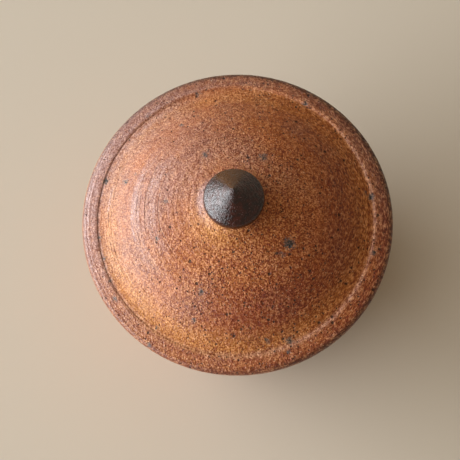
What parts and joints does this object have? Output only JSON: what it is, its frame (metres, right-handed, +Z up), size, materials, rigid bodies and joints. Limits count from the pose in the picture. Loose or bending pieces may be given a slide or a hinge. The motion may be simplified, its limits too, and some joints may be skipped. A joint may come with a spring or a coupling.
{
  "type": "salt pot",
  "caption": "Small round lidded pot for kitchen salt in unglazed stoneware, with a foot ring, an overhanging domed lid that drops into the mouth, and a pointed knob.",
  "frame": {"origin": "centre of the foot ring, on the surface that the pot stands on", "axes": "+Z up along the axis on which the pot and the lid were turned; +X and +Y are free, because the pot is round"},
  "size_m": [0.1, 0.1, 0.1003],
  "materials": {
    "pot_clay": "unglazed red-brown stoneware, matte with a faint sheen, pitted and flecked with iron",
    "lid_clay": "unglazed red-brown stoneware, matte with a faint sheen, pitted and flecked with iron",
    "knob_glaze": "dark brown, satin to glossy"
  },
  "bodies": {
    "pot": {"pot_body": "pot_clay"},
    "lid": {"lid": "lid_clay", "knob": "knob_glaze"}
  },
  "joints": [
    {"name": "lid_lift", "type": "slide", "parent": "pot", "child": "lid", "axis": [0, 0, 1], "range_m": [0, 0.1]}
  ]
}
